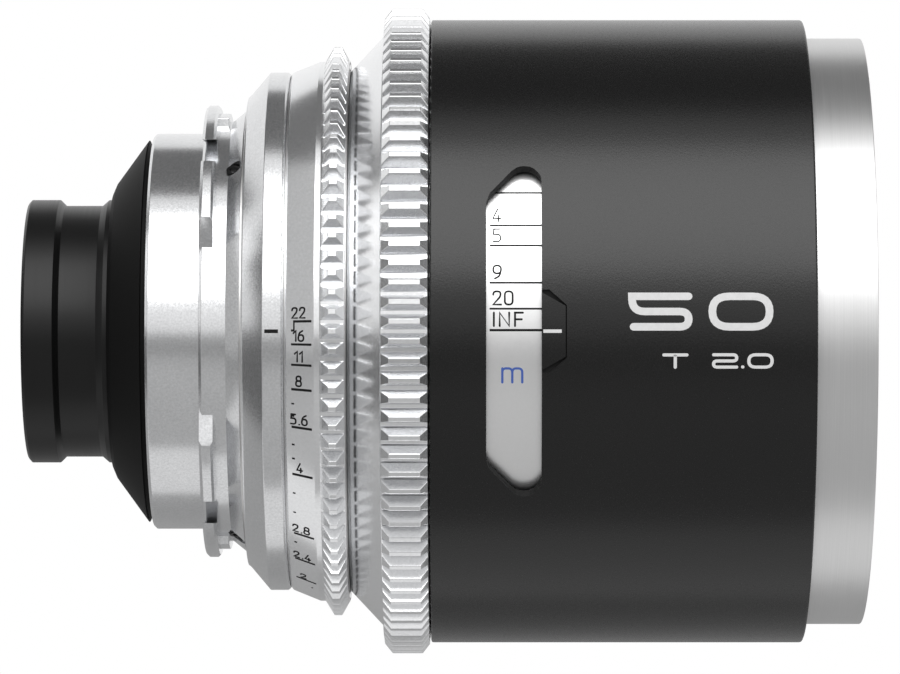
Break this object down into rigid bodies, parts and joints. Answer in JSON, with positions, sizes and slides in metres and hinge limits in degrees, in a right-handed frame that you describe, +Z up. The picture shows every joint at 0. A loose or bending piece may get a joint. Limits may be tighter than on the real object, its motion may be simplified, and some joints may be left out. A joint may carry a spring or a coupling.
{
  "type": "cinema prime lens",
  "caption": "Manual cinema prime lens with bayonet mount, geared focus and iris rings, distance scale window, focusing optical block and working iris diaphragm.",
  "frame": {"origin": "centre of the mount's seating plane, on the optical axis", "axes": "+X along the optical axis towards the front of the lens, +Z up as pictured, -Y towards the picture's camera"},
  "size_m": [0.1133, 0.088, 0.088],
  "materials": {
    "stainless_steel": "turned and polished stainless steel",
    "black_anodised": "satin black anodised aluminium",
    "black_inner": "matt black anodised aluminium",
    "silver_anodised": "bead blasted and clear anodised aluminium",
    "plain_aluminium": "turned aluminium",
    "brass": "turned brass",
    "hard_steel": "ground steel pin",
    "screw_black": "blackened steel",
    "blade_black": "blackened spring steel",
    "lens_glass": "coated optical glass"
  },
  "bodies": {
    "lens_body": {"lens_mount": "stainless_steel", "mount_set_screws": "screw_black", "light_shield": "black_anodised", "back_focus_shim": "brass", "index_ring": "silver_anodised", "main_barrel": "plain_aluminium", "iris_retaining_ring": "plain_aluminium", "shroud": "black_anodised", "index_plate": "black_anodised", "front_ring": "silver_anodised", "front_baffle": "black_anodised"},
    "focus_group": {"focus_ring": "silver_anodised", "cam_sleeve": "plain_aluminium", "scale_drum": "plain_aluminium"},
    "optical_block": {"optical_tube": "black_inner", "rear_cell": "black_anodised", "rear_retaining_ring": "black_inner", "front_cell": "black_inner", "front_retaining_ring": "black_inner", "front_element": "lens_glass", "second_element": "lens_glass", "third_element": "lens_glass", "fourth_element": "lens_glass", "rear_element": "lens_glass", "iris_base": "black_inner", "cam_followers": "brass"},
    "iris_group": {"iris_ring": "silver_anodised", "iris_fork": "plain_aluminium"},
    "actuator_group": {"iris_actuator": "black_inner", "actuator_key": "hard_steel"},
    "blade_01": {"iris_blade_01": "blade_black"},
    "blade_02": {"iris_blade_02": "blade_black"},
    "blade_03": {"iris_blade_03": "blade_black"},
    "blade_04": {"iris_blade_04": "blade_black"},
    "blade_05": {"iris_blade_05": "blade_black"},
    "blade_06": {"iris_blade_06": "blade_black"},
    "blade_07": {"iris_blade_07": "blade_black"},
    "blade_08": {"iris_blade_08": "blade_black"},
    "blade_09": {"iris_blade_09": "blade_black"},
    "blade_10": {"iris_blade_10": "blade_black"}
  },
  "joints": [
    {"name": "focus_turn", "type": "hinge", "parent": "lens_body", "child": "focus_group", "pos_m": [0.027, 0, 0], "axis": [1, 0, 0], "range_deg": [0, 225]},
    {"name": "focus_slide", "type": "slide", "parent": "lens_body", "child": "optical_block", "axis": [1, 0, 0], "range_m": [0, 0.00715]},
    {"name": "iris_turn", "type": "hinge", "parent": "lens_body", "child": "iris_group", "pos_m": [0.016, 0, 0], "axis": [-1, 0, 0], "range_deg": [0, 68]},
    {"name": "actuator_turn", "type": "hinge", "parent": "optical_block", "child": "actuator_group", "pos_m": [0.0367, 0, 0], "axis": [-1, 0, 0], "range_deg": [0, 68]},
    {"name": "blade_01_turn", "type": "hinge", "parent": "optical_block", "child": "blade_01", "pos_m": [0.0325, 0.021, 0], "axis": [-1, 0, 0], "range_deg": [0, 31.39]},
    {"name": "blade_02_turn", "type": "hinge", "parent": "optical_block", "child": "blade_02", "pos_m": [0.0328, 0.01699, 0.01234], "axis": [-1, 0, 0], "range_deg": [0, 31.39]},
    {"name": "blade_03_turn", "type": "hinge", "parent": "optical_block", "child": "blade_03", "pos_m": [0.0331, 0.00649, 0.01997], "axis": [-1, 0, 0], "range_deg": [0, 31.39]},
    {"name": "blade_04_turn", "type": "hinge", "parent": "optical_block", "child": "blade_04", "pos_m": [0.0334, -0.00649, 0.01997], "axis": [-1, 0, 0], "range_deg": [0, 31.39]},
    {"name": "blade_05_turn", "type": "hinge", "parent": "optical_block", "child": "blade_05", "pos_m": [0.0337, -0.01699, 0.01234], "axis": [-1, 0, 0], "range_deg": [0, 31.39]},
    {"name": "blade_06_turn", "type": "hinge", "parent": "optical_block", "child": "blade_06", "pos_m": [0.034, -0.021, 0], "axis": [-1, 0, 0], "range_deg": [0, 31.39]},
    {"name": "blade_07_turn", "type": "hinge", "parent": "optical_block", "child": "blade_07", "pos_m": [0.0343, -0.01699, -0.01234], "axis": [-1, 0, 0], "range_deg": [0, 31.39]},
    {"name": "blade_08_turn", "type": "hinge", "parent": "optical_block", "child": "blade_08", "pos_m": [0.0346, -0.00649, -0.01997], "axis": [-1, 0, 0], "range_deg": [0, 31.39]},
    {"name": "blade_09_turn", "type": "hinge", "parent": "optical_block", "child": "blade_09", "pos_m": [0.0349, 0.00649, -0.01997], "axis": [-1, 0, 0], "range_deg": [0, 31.39]},
    {"name": "blade_10_turn", "type": "hinge", "parent": "optical_block", "child": "blade_10", "pos_m": [0.0352, 0.01699, -0.01234], "axis": [-1, 0, 0], "range_deg": [0, 31.39]}
  ],
  "couplings": [
    {"joint": "focus_slide", "follows": "focus_turn", "m_per_rad": 0.0018207},
    {"joint": "actuator_turn", "follows": "iris_turn", "ratio": 1},
    {"joint": "blade_01_turn", "follows": "iris_turn", "ratio": 0.46155},
    {"joint": "blade_02_turn", "follows": "iris_turn", "ratio": 0.46155},
    {"joint": "blade_03_turn", "follows": "iris_turn", "ratio": 0.46155},
    {"joint": "blade_04_turn", "follows": "iris_turn", "ratio": 0.46155},
    {"joint": "blade_05_turn", "follows": "iris_turn", "ratio": 0.46155},
    {"joint": "blade_06_turn", "follows": "iris_turn", "ratio": 0.46155},
    {"joint": "blade_07_turn", "follows": "iris_turn", "ratio": 0.46155},
    {"joint": "blade_08_turn", "follows": "iris_turn", "ratio": 0.46155},
    {"joint": "blade_09_turn", "follows": "iris_turn", "ratio": 0.46155},
    {"joint": "blade_10_turn", "follows": "iris_turn", "ratio": 0.46155}
  ]
}
